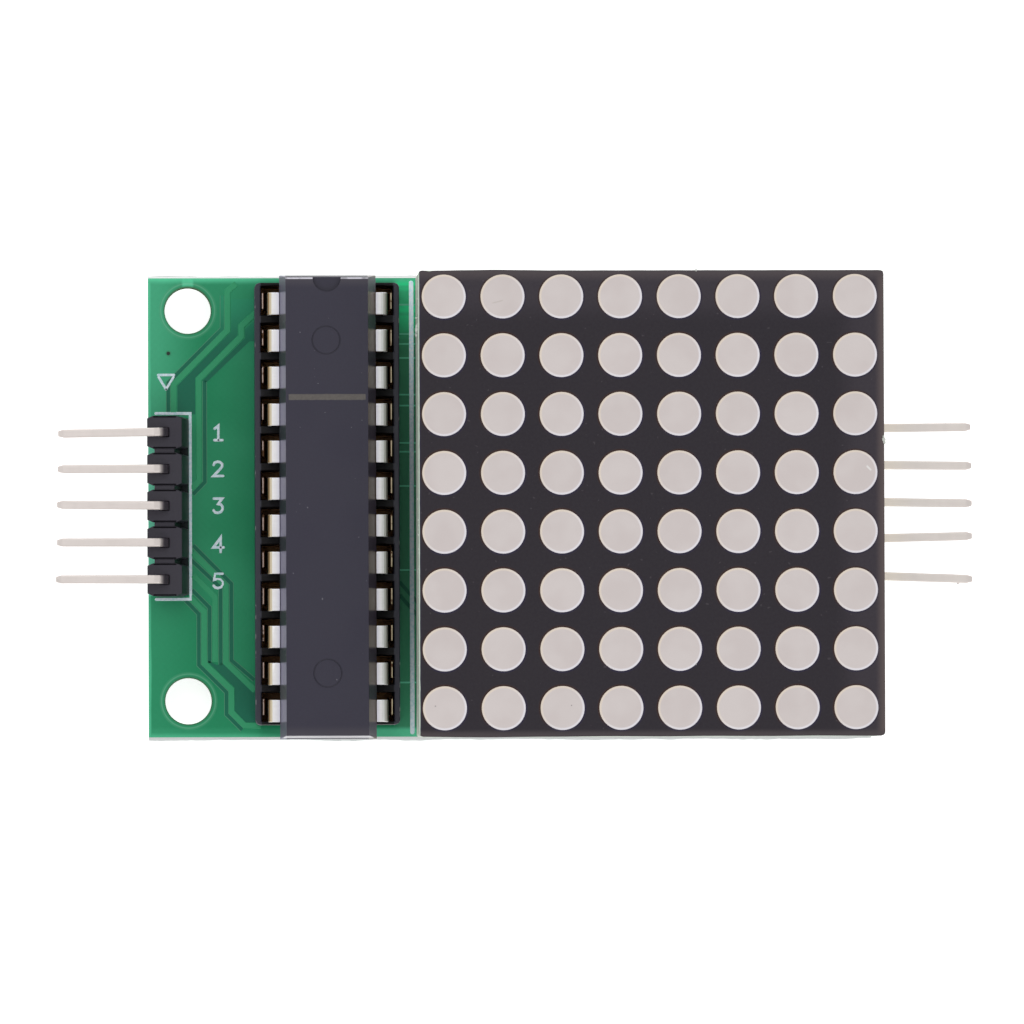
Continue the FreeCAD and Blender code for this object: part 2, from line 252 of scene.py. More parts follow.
def board_paint():
    """Green mask on both faces, bare pale laminate where the board was cut or snapped."""
    p = Paint("solder_mask_board", 0.38, 0.0, 0.2)
    clouds = p.noise(0.11)
    fine = p.noise(2.5, 3.0)
    weave = p.weave()
    on_top = p.ramp(p.nz, 0.3, 0.7)
    # Painted light: the copper pour paler towards the left end, most of all at the back
    edge_light = p.times(p.ramp(p.x, -25.0, -20.5, 1.0, 0.0), p.ramp(p.y, -14.0, 12.0, 0.25, 1.0))
    pour = p.mix(p.most(edge_light, p.ramp(clouds, 0.4, 0.7, 0.0, 0.3)), (24, 138, 92), (70, 176, 132))
    # Beside and under the display, where light falls past its left wall
    beside = p.times(p.ramp(p.x, -8.2, -7.6), on_top)
    pour = p.mix(p.times(beside, 0.8), pour, (66, 150, 112))
    bands = p.ramp(p.noise(1.0, 2.0, (0.02, 1.0, 0.02)), 0.42, 0.56, 0.45, 1.0)
    pour = p.mix(p.times(beside, bands, p.ramp(p.y, 10.5, 14.2, 0.0, 0.95)), pour, (50, 246, 164))
    # Bare of copper along the outline, so the laminate shines through the mask
    wander = p.wander(0.5, 0.12)
    from_middle = p.plus(p.off(p.y, BOARD_Y), wander)
    along_sides = p.times(p.ramp(from_middle, BOARD_HALF_Y - 0.62, BOARD_HALF_Y - 0.1),
                          p.ramp(p.y, -2.0, 2.0, 0.55, 1.0))
    along_ends = p.ramp(p.plus(p.off(p.x), wander), BOARD_X - 0.24, BOARD_X - 0.1, 0.0, 0.6)
    low_right = p.times(p.ramp(p.y, BOARD_Y - 15.45, BOARD_Y - 15.1, 1.0, 0.0),
                        p.ramp(p.x, -18.0, -9.0, 0.1, 0.9))
    shining = (96, 218, 168)
    colour = p.mix(p.most(along_sides, low_right, along_ends), pour, shining)
    # Copper stands back round each screw hole
    hole = p.length(p.math("SUBTRACT", p.off(p.x), HOLE_X), p.math("SUBTRACT", p.off(p.y), HOLE_Y))
    colour = p.mix(p.ramp(hole, 1.93, 1.99, 0.35, 0.0), colour, (46, 160, 112))
    bridge = p.times(p.near(p.x, -HOLE_X, 0.38, 0.1), p.ramp(p.y, 15.0, 15.3, 0.0, 0.8))
    colour = p.mix(bridge, colour, shining)
    colour = p.mix(p.times(p.near(hole, 1.97, 0.03), 0.18), colour, (110, 175, 140))
    # Painted deep shade between the input header's units on their right, and painted light in the gaps
    # between them on their left
    beside_header = p.times(p.near(p.y, INPUT_Y, 6.1, 0.1), on_top)
    colour = p.mix(p.times(p.near(p.x, -22.7, 0.5, 0.06), beside_header), colour, (8, 28, 30))
    colour = p.mix(p.times(p.near(p.x, -24.9, 0.4, 0.05), beside_header), colour, (130, 245, 205))
    # The rims of the screw holes
    colour = p.mix(p.times(p.near(hole, 1.86, 0.05, 0.04), 0.3), colour, (140, 200, 170))
    colour = p.mix(p.ramp(hole, 1.62, 1.76, 0.6, 0.0), colour, (70, 92, 62))
    # Cut faces: snapped along the two scores, sawn at the ends, drilled in the holes
    side = p.ramp(p.off(p.nz), 0.4, 0.9, 1.0, 0.0)
    fibres = p.noise(1.0, 4.0, (9.0, 2.0, 20.0), 0.7)
    snapped = p.mix(fibres, (196, 200, 198), (246, 248, 248))
    layers = p.plus(0.95, p.times(p.math("SINE", p.times(p.z, 26.0)), 0.05))
    sawn = p.shade(p.mix(fibres, (120, 140, 84), (176, 186, 128)), layers)
    cut = p.mix(p.ramp(p.off(p.ny), 0.3, 0.6), sawn, snapped)
    cut = p.mix(p.ramp(hole, 1.66, 1.7, 1.0, 0.0), cut, (96, 112, 74))
    colour = p.mix(side, colour, cut)
    # Painted light: the cut faces that face the back and a little up glow white
    p.glow((255, 255, 255), p.times(side, p.ramp(p.ny, 0.1, 0.3), p.ramp(p.nz, 0.0, 0.2), 0.3))
    p.bump(p.plus(p.times(weave, 0.3), fine, p.times(side, fibres, 8.0)), 0.004)
    level = p.plus(0.95, p.times(fine, 0.07), p.times(weave, 0.012))
    return p.finish(p.shade(colour, level), p.ramp(side, 0.0, 1.0, 0.37, 0.85))


def silk_paint():
    """Screen printed ink, a little thin in places; the line beside the display glows, as painted light."""
    p = Paint("silkscreen_ink", 0.6)
    thin = p.ramp(p.noise(5.0, 3.0), 0.3, 0.62)
    colour = p.mix(thin, (196, 228, 236), (230, 242, 250))
    # Painted light: the printed line beside the display glows, more towards the back
    beside = p.near(p.x, PRINTED_LINE_X, 0.3)
    p.glow(colour, p.times(beside, p.ramp(p.y, 4.0, 15.0, 0.0, 0.25)))
    p.bump(p.noise(12.0), 0.006)
    return p.finish(colour)


def metal(name, dark, light, roughness, metallic, grain=(1.0, 1.0, 1.0), scale=3.0):
    """Plated or tinned metal with drawn lines and dull patches."""
    p = Paint(name, roughness, metallic)
    lines = p.noise(scale, 4.0, grain, 0.6)
    clouds = p.noise(0.9)
    colour = p.mix(p.blend(lines, clouds, 0.6), dark, light)
    p.bump(lines, 0.006)
    return p.finish(colour, p.between(clouds, roughness - 0.07, roughness + 0.1))


def along_pitch(p, start):
    """Place within a unit of the pitch along y, from 0 to PITCH."""
    return p.times(p.math("FRACT", p.times(p.plus(p.y, -start), 1 / PITCH)), PITCH)


def chip_paint():
    """Black moulding compound with a laser scored line, ejector marks, and paler drafted sides that carry a
    painted reflection of the leads.
    """
    p = Paint("chip_plastic", 0.52, 0.0, 0.45)
    clouds = p.noise(0.2, 3.0)
    fine = p.noise(7.0, 4.0)
    colour = p.mix(p.blend(clouds, fine), (40, 37, 54), (50, 47, 65))
    on_top = p.ramp(p.z, CHIP_TOP - 0.06, CHIP_TOP - 0.03)
    along = p.off(p.y, CHIP_Y)
    towards_end = p.times(p.ramp(along, CHIP_HALF_Y - 1.0, CHIP_HALF_Y - 0.3), on_top)
    colour = p.mix(towards_end, colour, (64, 60, 71))
    # Painted reflection: the drafted sides show the leads again, paler beside each lead
    side = p.times(p.ramp(p.off(p.x, CHIP_TOP_X), CHIP_TOP_HALF_X - 0.04, CHIP_TOP_HALF_X + 0.03),
                   p.ramp(p.nz, 0.9, 0.99, 1.0, 0.0))
    streaks = p.plus(0.8, p.times(p.noise(1.0, 3.0, (6.0, 0.5, 6.0)), 0.4))
    is_right = p.ramp(p.x, CHIP_X - 0.1, CHIP_X + 0.1)
    beside_lead = p.mix(is_right, (112, 110, 132), (104, 90, 84))
    between_leads = p.mix(is_right, (38, 36, 46), (60, 50, 64))
    past_leads = p.mix(is_right, (64, 56, 80), (80, 62, 84))
    is_past = p.ramp(along, CHIP_HALF_Y - 1.3, CHIP_HALF_Y - 1.1)
    is_beside = p.near(along_pitch(p, CHIP_Y), PITCH / 2, 0.76, 0.05)
    lead_reflection = p.mix(is_beside, p.mix(is_past, between_leads, past_leads), beside_lead)
    colour = p.mix(side, colour, p.shade(lead_reflection, streaks))
    # The ends catch the light
    lit = p.times(p.ramp(p.z, LEAD_LEVEL + 0.5, LEAD_LEVEL + 0.75),
                  p.ramp(p.z, CHIP_TOP - 0.5, CHIP_TOP - 0.1, 1.0, 0.3))
    low_end = p.times(p.ramp(p.ny, -0.3, -0.6, 0.0, 1.0), lit)
    colour = p.mix(low_end, colour, (168, 166, 174))
    high_end = p.times(p.near(p.y, CHIP_Y + CHIP_HALF_Y - 0.27, 0.05, 0.02), on_top)
    patchy = p.ramp(p.noise(1.5, 2.0, (1.0, 0.1, 0.1)), 0.35, 0.6, 0.35, 1.0)
    colour = p.mix(p.times(high_end, patchy), colour, (226, 224, 236))
    # Laser line
    ragged = p.wander(3.0, 0.06)
    line = p.times(p.near(p.plus(p.y, ragged), 7.2, 0.2, 0.04),
                   p.near(p.plus(p.x, ragged), -12.75, 2.63, 0.04), on_top)
    scored = p.mix(p.noise(6.0, 3.0), (84, 79, 76), (112, 106, 100))
    colour = p.mix(p.times(line, 0.9), colour, scored)
    # Ejector marks: ring grooves, painted darker as shade in them
    ring = p.plus(*(p.times(p.near(p.radius(x, y), 0.95, 0.035, 0.03), on_top)
                    for x, y in ((-12.8, 11.1), (-12.74, -11.7))))
    colour = p.mix(p.times(ring, 0.45), colour, (24, 22, 32))
    speck = p.ramp(p.noise(4.0, 0.0), 0.84, 0.87, 0.0, 0.35)
    colour = p.mix(speck, colour, (140, 138, 146))
    p.bump(p.plus(fine, p.times(ring, -6.0), p.times(line, -1.0)), 0.006)
    polish = p.plus(p.times(side, -0.16), p.times(low_end, -0.34))
    return p.finish(colour, p.plus(p.between(clouds, 0.46, 0.58), polish))


def dot_vector(p):
    """Distance from the nearest dot's middle, its slope from top left to low right, and the dot's number."""
    low = (DOT_X - 4 * DOT_PITCH, DOT_Y - 4 * DOT_PITCH, 0)
    scaled = p.vector("DIVIDE", p.vector("SUBTRACT", p.place, low), (DOT_PITCH, DOT_PITCH, 1e6))
    inside = p.vector("SUBTRACT", p.vector("FRACTION", scaled), (0.5, 0.5, 0))
    flat = p.vector("MULTIPLY", inside, (DOT_PITCH, DOT_PITCH, 0))
    x, y, _ = p.split(flat)
    return p.vector("LENGTH", flat), p.plus(p.times(x, 0.5), p.times(y, -0.5)), p.vector("FLOOR", scaled)


def dot_paint():
    """Cast resin over an unlit LED: pale pinkish grey, milky, with a brighter rim."""
    p = Paint("dot_resin", 0.36, 0.0, 0.35)
    radius, slope, number = dot_vector(p)
    white = p.add("TexWhiteNoise", number, noise_dimensions="2D")
    own = p.plus(0.99, p.times(white.outputs["Value"], 0.02))
    clouds = p.noise(0.45)
    colour = p.mix(p.between(clouds, 0.0, 1.0), (215, 205, 203), (220, 211, 209))
    rim_colour = p.mix(p.ramp(slope, -0.8, 0.8), (236, 222, 206), (240, 237, 244))
    colour = p.mix(p.ramp(radius, 1.3, 1.42, 0.0, 0.9), colour, rim_colour)
    # Two specks of dust, a scratch and a glint
    speck = p.most(p.times(p.disc(3.72, -14.0, 0.035), 0.8), p.times(p.disc(-5.53, -14.03, 0.05), 0.5))
    colour = p.mix(speck, colour, (90, 84, 82))
    along = p.near(p.x, -1.22, 0.35, 0.12)
    scratch = p.times(p.near(p.plus(p.y, p.times(p.x, -0.25)), 13.77, 0.03, 0.04), along, 0.35)
    colour = p.mix(scratch, colour, (166, 158, 140))
    glint = p.times(p.near(p.plus(p.x, p.y), 26.13, 0.09, 0.05),
                    p.near(p.math("SUBTRACT", p.x, p.y), 21.93, 0.3, 0.1), 0.8)
    colour = p.mix(glint, colour, (242, 240, 238))
    p.bump(p.plus(p.times(clouds, 0.4), p.times(p.noise(4.0), 0.15)), 0.008)
    return p.finish(p.shade(colour, own), p.between(clouds, 0.32, 0.4))


def face_paint():
    """Matt black screen printed face, brownish or violet where it thins at windows and edges."""
    p = Paint("display_black", 0.6, 0.0, 0.32)
    radius, slope, _ = dot_vector(p)
    clouds = p.noise(0.12, 3.0)
    fine = p.noise(5.0, 4.0)
    colour = p.mix(p.blend(clouds, fine, 0.7), (36, 31, 40), (45, 39, 46))
    tint = p.mix(p.ramp(slope, -0.5, 0.5), (62, 34, 20), (36, 30, 62))
    colour = p.mix(p.ramp(radius, 1.5, 1.68, 0.9, 0.0), colour, tint)
    # Paler towards the right and the back, and at the edges
    broad = p.most(p.ramp(p.x, CASE_RIGHT - 3.6, CASE_RIGHT - 1.4),
                   p.ramp(p.y, CASE_BACK - 3.8, CASE_BACK - 1.6))
    colour = p.mix(p.times(broad, p.ramp(radius, 1.5, 1.68)), colour, (55, 49, 57))
    right = p.ramp(p.x, CASE_RIGHT - 0.7, CASE_RIGHT - 0.04, 0.0, 0.85)
    colour = p.mix(right, colour, (96, 84, 83))
    left = p.ramp(p.x, CASE_LEFT + 0.04, CASE_LEFT + 0.22, 0.8, 0.0)
    colour = p.mix(left, colour, (48, 42, 66))
    high = p.ramp(p.y, CASE_BACK - 0.9, CASE_BACK - 0.08, 0.0, 0.95)
    low = p.ramp(p.y, CASE_FRONT + 0.1, CASE_FRONT + 0.55, 0.8, 0.0)
    colour = p.mix(p.most(high, low), colour, (78, 70, 73))
    speck = p.ramp(p.noise(4.0, 0.0), 0.83, 0.87, 0.0, 0.15)
    colour = p.mix(speck, colour, (120, 112, 118))
    # Trimmed back to the pale moulding along the left
    wander = p.wander(1.0, 0.05, (0.1, 1.0, 0.1))
    trimmed = p.ramp(p.plus(p.x, wander), CASE_LEFT + 0.04, CASE_LEFT + 0.08, 1.0, 0.0)
    colour = p.mix(trimmed, colour, (206, 222, 206))
    p.bump(p.plus(fine, p.times(clouds, 0.5)), 0.01)
    return p.finish(colour, p.between(fine, 0.54, 0.68))


def body_paint():
    """Unpainted white moulding, smeared dark along the top where the face was trimmed, its left wall in
    painted shade with a green cast from the board.
    """
    p = Paint("display_body", 0.6, 0.0, 0.4)
    clouds = p.noise(0.5, 3.0)
    streaks = p.noise(1.0, 4.0, (3.0, 3.0, 0.4))
    colour = p.mix(p.blend(clouds, streaks), (200, 214, 198), (230, 238, 226))
    # Painted shade with a green cast from the board on the left wall, more of it higher up
    left_wall_shade = p.ramp(p.nx, -0.8, -0.5, 1.0, 0.0)
    colour = p.mix(p.times(left_wall_shade, p.ramp(p.z, 9.5, 12.5, 0.0, 0.6)), colour, (150, 165, 150))
    speck = p.ramp(p.cells(2.2), 0.12, 0.2, 0.5, 0.0)
    colour = p.mix(speck, colour, (240, 242, 240))
    smear = p.times(p.ramp(p.z, 13.4, 14.3), p.ramp(p.noise(2.2, 3.0), 0.5, 0.6), 0.55)
    colour = p.mix(smear, colour, (70, 68, 70))
    p.bump(p.plus(p.times(clouds, 2.0), p.noise(6.0, 3.0)), 0.015)
    return p.finish(colour)


def lead_paint():
    """Bright tin on the shoulders, brown at the tips, and the bend painted darker as it turns away, a painted
    reflection of the socket.
    """
    p = Paint("tinned_lead", 0.34, 0.4)
    drawn = p.noise(2.0, 2.0, (0.5, 3.0, 0.5))
    colour = p.mix(drawn, (240, 238, 240), (252, 251, 252))
    colour = p.mix(p.ramp(p.off(p.x, CHIP_X), 3.35, 3.6, 0.5, 0.0), colour, (222, 220, 240))
    turned = p.off(p.nx)
    is_right = p.ramp(p.nx, -0.1, 0.1)
    # Painted reflection: the bend darkens as it turns away, browner on the left leads, greyer on the right
    for start, end, left, right in ((0.15, 0.5, (242, 232, 204), (226, 224, 220)),
                                    (0.45, 0.75, (150, 118, 68), (160, 156, 150)),
                                    (0.76, 0.95, (50, 30, 12), (70, 58, 48))):
        colour = p.mix(p.ramp(turned, start, end), colour, p.mix(is_right, left, right))
    colour = p.mix(p.ramp(p.z, 6.6, 7.6, 0.85, 0.0), colour, (70, 54, 38))
    p.bump(drawn, 0.002)
    return p.finish(colour, p.between(drawn, 0.28, 0.36))


def contact_paint():
    """Dark tarnished bronze with a thin bright cut edge on top."""
    p = Paint("contact_bronze", 0.35, 0.8)
    patch = p.noise(1.5, 3.0)
    colour = p.mix(patch, (64, 42, 26), (104, 74, 48))
    cut = p.times(p.ramp(p.z, 5.2, 5.27), p.near(p.off(p.x, CHIP_X), 4.43, 0.04, 0.015),
                  p.ramp(p.plus(p.noise(2.0), p.wander(3.0, 0.2)), 0.36, 0.44))
    is_right = p.ramp(p.x, CHIP_X - 1, CHIP_X + 1)
    colour = p.mix(cut, colour, p.mix(is_right, (212, 188, 178), (218, 204, 170)))
    p.bump(patch, 0.01)
    return p.finish(colour, p.between(patch, 0.3, 0.42))


def socket_paint():
    """Moulded black with a violet cast, the partitions between the cells painted near black as shade, their
    sheen damped.
    """
    p = Paint("socket_plastic", 0.48)
    clouds = p.noise(0.25, 3.0)
    fine = p.noise(5.0, 4.0)
    colour = p.mix(p.blend(clouds, fine), (34, 34, 48), (48, 48, 64))
    out = p.off(p.x, CHIP_X)
    # Painted shade: the partitions between the cells near black, their sheen damped by the metallic mix
    inside = p.ramp(out, SOCKET_HALF_X - 0.45, SOCKET_HALF_X - 0.4, 1.0, 0.0)
    mottled = p.ramp(p.noise(2.0, 3.0), 0.5, 0.7)
    colour = p.mix(inside, colour, p.mix(mottled, (4, 3, 6), (24, 22, 28)))
    p.set("Metallic", p.times(inside, 0.55))
    rail = BOARD_TOP + SOCKET_HIGH
    worn = p.times(p.ramp(out, SOCKET_HALF_X - 0.08, SOCKET_HALF_X - 0.02),
                   p.ramp(p.noise(1.6, 3.0), 0.6, 0.66), p.ramp(p.z, rail - 0.25, rail - 0.1))
    colour = p.mix(p.times(worn, 0.5), colour, (170, 168, 168))
    p.bump(fine, 0.012)
    return p.finish(colour, p.between(clouds, 0.42, 0.54))


def header_paint(name, header_y):
    """Moulded black, its necks set in by narrow grooves painted black as shade, its right-facing walls in
    painted shade.
    """
    p = Paint(name, 0.5, 0.0, 0.45)
    clouds = p.noise(0.25, 3.0)
    fine = p.noise(6.0, 4.0)
    colour = p.mix(p.blend(clouds, fine), (40, 37, 48), (54, 50, 62))
    from_neck = p.off(along_pitch(p, header_y), PITCH / 2)
    across = p.near(p.off(p.x), NECK_X, 0.78, 0.03)
    # Painted shade: the narrow grooves at each neck near black, their sheen damped
    groove_shade = p.times(p.near(from_neck, 0.21, 0.045, 0.02), p.ramp(p.z, 3.9, 4.0), across)
    colour = p.mix(p.times(groove_shade, 0.9), colour, (6, 5, 8))
    # Painted shade, dark green, on the right-facing walls
    colour = p.mix(p.ramp(p.nx, 0.5, 0.8, 0.0, 0.8), colour, (14, 32, 26))
    p.set("Metallic", p.times(groove_shade, 0.9))
    p.bump(p.plus(fine, p.times(groove_shade, -5.0)), 0.008)
    return p.finish(colour, p.between(clouds, 0.44, 0.58))


def pin_paint():
    """Plated pins, drawn lengthwise, painted lighter near the display's wall against its shadow, and the bend
    painted dark as a reflection of the header.
    """
    p = Paint("pin_plating", 0.36, 0.6)
    drawn = p.noise(1.5, 3.0, (0.4, 5.0, 5.0))
    bands = p.noise(1.2, 2.0, (2.0, 0.2, 0.2))
    colour = p.mix(p.blend(drawn, bands, 0.6), (222, 213, 208), (238, 229, 225))
    # Painted light: lighter near the display's wall, against its shadow
    wall_light = p.times(p.ramp(p.x, 25.0, 28.0, 0.8, 0.0), p.ramp(p.x, 0.0, 1.0))
    colour = p.mix(wall_light, colour, (255, 242, 228))
    # Painted reflection: the bend dark where it would mirror the header
    from_bend = p.math("SUBTRACT", p.off(p.x), BEND_X)
    colour = p.mix(p.ramp(from_bend, -0.02, 0.26, 1.0, 0.0), colour, (104, 98, 106))
    p.bump(drawn, 0.002)
    return p.finish(colour, p.between(bands, 0.32, 0.4))


def floor_paint():
    """White paper that stays white to the camera and in reflections, and keeps the object's shadow."""
    material = bpy.data.materials.new("studio_floor")
    material.use_nodes = True
    tree = material.node_tree
    tree.nodes.clear()
    output, diffuse, glow, total, path, either, strength = (
        tree.nodes.new("ShaderNode" + kind) for kind in
        ("OutputMaterial", "BsdfDiffuse", "Emission", "AddShader", "LightPath", "Math", "Math"))
    diffuse.inputs["Color"].default_value = (0.9, 0.9, 0.9, 1)
    either.operation = "MAXIMUM"
    strength.operation = "MULTIPLY"
    strength.inputs[1].default_value = FLOOR_GLOW
    for start, end in ((path.outputs["Is Camera Ray"], either.inputs[0]),
                       (path.outputs["Is Glossy Ray"], either.inputs[1]),
                       (either.outputs[0], strength.inputs[0]),
                       (strength.outputs[0], glow.inputs["Strength"]),
                       (diffuse.outputs[0], total.inputs[0]),
                       (glow.outputs[0], total.inputs[1]),
                       (total.outputs[0], output.inputs["Surface"])):
        tree.links.new(start, end)
    return material


# ---- Shapes ----

def make(name, verts, faces, material, slot, smooth=False, replaces=()):
    """A piece of the object from points in millimetres."""
    mesh = bpy.data.meshes.new(name)
    mesh.from_pydata([Vector(v) * MM for v in verts], [], faces)
    mesh.validate()
    work = bmesh.new()
    work.from_mesh(mesh)
    bmesh.ops.recalc_face_normals(work, faces=work.faces)
    work.to_mesh(mesh)
    work.free()
    if smooth:
        mesh.shade_smooth()
    piece = bpy.data.objects.new(name, mesh)
    bpy.context.scene.collection.objects.link(piece)
    mesh.materials.append(material)
    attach(piece, "root")
    if replaces:
        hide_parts(*replaces)


def circle(sides):
    """Points of the unit circle."""
    angles = [2 * math.pi * i / sides for i in range(sides)]
    return [(math.cos(a), math.sin(a)) for a in angles]


def bands(rings, count, closed=True):
    """Faces between rings of count points that follow each other."""
    return [[start + i, start + (i + 1) % count, start + count + (i + 1) % count, start + count + i]
            for start in range(0, (rings - 1) * count, count) for i in range(count if closed else count - 1)]


def cap(end, inside, radius, steps=6):
    """Points of a line's round end, from its left edge to its right one."""
    ahead = (end - inside).normalized()
    turn = math.atan2(ahead.y, ahead.x) + math.pi / 2
    angles = [turn - math.pi * k / steps for k in range(1, steps)]
    return [end + Vector((math.cos(a), math.sin(a))) * radius for a in angles]


class Sheet:
    """Collects points and faces of many small shapes for one piece."""

    def __init__(self):
        self.verts, self.faces = [], []

    def add(self, verts, faces):
        start = len(self.verts)
        self.verts += verts
        self.faces += [[start + i for i in face] for face in faces]

    def stroke(self, points, width, z, rise, caps=False):
        """A flat line with mitred corners and perhaps round ends, its edges sloped down."""
        half = width / 2
        points = [Vector(p) for p in points]
        mitres = []
        for i, here in enumerate(points):
            before = (here - points[i - 1]).normalized() if i else None
            after = (points[i + 1] - here).normalized() if i + 1 < len(points) else None
            ahead = ((before or after) + (after or before)).normalized()
            plain = after or before
            across = Vector((-ahead.y, ahead.x))
            across /= max(across.dot(Vector((-plain.y, plain.x))), 0.3)
            mitres.append(across * half)
        outline = [p + mitre for p, mitre in zip(points, mitres)]
        if caps:
            outline += cap(points[-1], points[-2], half)
        outline += [p - mitre for p, mitre in zip(reversed(points), reversed(mitres))]
        if caps:
            outline += cap(points[0], points[1], half)
        self.patch(outline, z, rise, min(rise, width * 0.3))

    def patch(self, outline, z, rise, soft=0.0):
        """A flat filled outline raised by rise, its rim sloped over soft."""
        outline = [Vector(p) for p in outline]
        count = len(outline)
        inner = []
        for i, here in enumerate(outline):
            ahead = (outline[(i + 1) % count] - outline[i - 1]).normalized()
            inner.append(here + Vector((ahead.y, -ahead.x)) * soft)
        self.add([(p.x, p.y, z) for p in outline] + [(p.x, p.y, z + rise) for p in inner],
                 bands(2, count) + [[count + i for i in range(count)]])

    def ring(self, x, y, inner, outer, z, rise, sides):
        """A flat ring."""
        self.add([(x + radius * c, y + radius * s, height)
                  for radius, height in ((inner, z), (inner, z + rise), (outer, z + rise), (outer, z))
                  for c, s in circle(sides)], bands(4, sides))

    def turned(self, x, y, profile, sides):
        """A shape turned about an upright axis, from (radius, height) pairs, closed where the radius is 0."""
        verts, rings, faces = [], [], []
        for radius, z in profile:
            if radius == 0:
                rings.append([len(verts)] * sides)
                verts.append((x, y, z))
            else:
                rings.append(list(range(len(verts), len(verts) + sides)))
                verts += [(x + radius * c, y + radius * s, z) for c, s in circle(sides)]
        for first, last in zip(rings, rings[1:]):
            for i in range(sides):
                j = (i + 1) % sides
                face = list(dict.fromkeys((first[i], first[j], last[j], last[i])))
                if len(face) > 2:
                    faces.append(face)
        self.add(verts, faces)

    def blob(self, random, x, y, z, rx, ry, rz, rings=4, around=7):
        """A small uneven lump."""
        levels = [(x, y, z + rz)]
        for i in range(1, rings):
            t = math.pi * i / rings
            for c, s in circle(around):
                grow = random.uniform(0.8, 1.15)
                levels.append((x + rx * math.sin(t) * c * grow, y + ry * math.sin(t) * s * grow,
                               z + rz * math.cos(t)))
        last = len(levels)
        faces = []
        for k in range(around):
            n = (k + 1) % around
            faces.append([0, 1 + k, 1 + n])
            for i in range(rings - 2):
                faces.append([1 + i * around + k, 1 + (i + 1) * around + k,
                              1 + (i + 1) * around + n, 1 + i * around + n])
            faces.append([last, 1 + (rings - 2) * around + n, 1 + (rings - 2) * around + k])
        self.add(levels + [(x, y, z - rz)], faces)

    def piece(self, name, material, slot, **options):
        make(name, self.verts, self.faces, material, slot, **options)


def dress(name, material, width=0.0, segments=2, angle=30):
    """Paints a CAD node, and rounds its edges in the picture with its own points unchanged."""
    node = nodes[name]
    node.data.materials.clear()
    node.data.materials.append(material)
    if not width:
        return
    weld = node.modifiers.new("weld", "WELD")
    weld.merge_threshold = 1e-6
    bevel = node.modifiers.new("bevel", "BEVEL")
    bevel.width = width * MM
    bevel.segments = segments
    bevel.limit_method = "ANGLE"
    bevel.angle_limit = math.radians(angle)
    bevel.harden_normals = False
    bevel.use_clamp_overlap = True


def spin(profile, start, axis, sides):
    """Points and faces of a turned shape, from (radius, distance) pairs along x or y."""
    form = Sheet()
    form.turned(0, 0, profile, sides)
    order = {"x": (2, 0, 1), "y": (1, 2, 0)}[axis]
    return [tuple(a + v[i] for a, i in zip(start, order)) for v in form.verts], form.faces


def rounded_loop(half, radius, z, steps=5):
    """A level square with round corners, centred on the display."""
    loop = []
    for quarter, (sx, sy) in enumerate(((1, 1), (-1, 1), (-1, -1), (1, -1))):
        for k in range(steps + 1):
            a = math.pi / 2 * (quarter + k / steps)
            loop.append((CASE_X + sx * (half - radius) + radius * math.cos(a),
                         CASE_Y + sy * (half - radius) + radius * math.sin(a), z))
    return loop


# ---- Board, printing and copper ----

dress("circuit_board", board_paint())

# Widths, and how far each layer stands over the board
TRACE, CLEAR, ROW_LINE = 0.42, 0.25, 0.12
ROW_RISE, RIM_RISE, CLEAR_RISE, TRACE_RISE, INK_RISE = 0.003, 0.004, 0.008, 0.03, 0.035
clear_lines = (
    [(-19.86, 14.54), (-19.86, 12.26), (-23.6, 8.51), (-23.6, 6.32)],
    [(-21.09, 8.64), (-21.09, 1.64), (-21.91, 0.79)],
    [(-22.05, -3.74), (-20.02, -5.67), (-20.02, -10.97)],
    [(-21.91, -2.74), (-19.28, -5.39), (-19.28, -10.69), (-17.7, -12.05)],
    [(-21.99, -5.82), (-20.79, -7.04), (-20.79, -10.85)],
    [(-22.43, -6.55), (-21.53, -7.48), (-21.53, -11.01), (-19.63, -12.9), (-19.63, -14.42), (-18.55, -15.5)],
)
clear_patches = (
    [(-19.26, 14.31), (-19.26, 12.02), (-22.98, 8.3), (-22.98, 6.32), (-21.74, 6.32), (-21.74, 8.84),
     (-18.8, 11.8), (-18.8, 12.53), (-17.63, 13.63), (-17.63, 14.31)],
    [(-17.63, 12.78), (-18.29, 12.22), (-18.29, 11.59), (-21.22, 8.66), (-20.95, 8.54), (-17.97, 11.37),
     (-17.63, 11.37)],
    [(-20.87, -10.71), (-20.29, -11.01), (-19.89, -10.89), (-17.62, -12.98), (-17.62, -14.98),
     (-18.43, -14.98), (-19.07, -14.18), (-19.07, -12.57), (-20.87, -10.83)],
)
trace_lines = (
    [(-18.9, 15.35), (-19.5, 14.85), (-19.5, 12.14), (-23.24, 8.39), (-23.24, 6.32)],
    [(-17.57, 13.32), (-18.55, 12.42), (-18.55, 11.68), (-21.49, 8.75), (-21.49, 1.72), (-22.0, 1.16)],
    [(-21.91, -3.26), (-19.65, -5.55), (-19.65, -10.85), (-17.66, -12.78)],
    [(-21.91, -4.79), (-20.4, -6.31), (-20.4, -10.8)],
    [(-22.23, -6.23), (-21.15, -7.32), (-21.15, -10.89), (-19.28, -12.7), (-19.28, -14.26),
     (-18.39, -15.18), (-17.26, -15.22)],
)
rims, clears, traces, faint = Sheet(), Sheet(), Sheet(), Sheet()
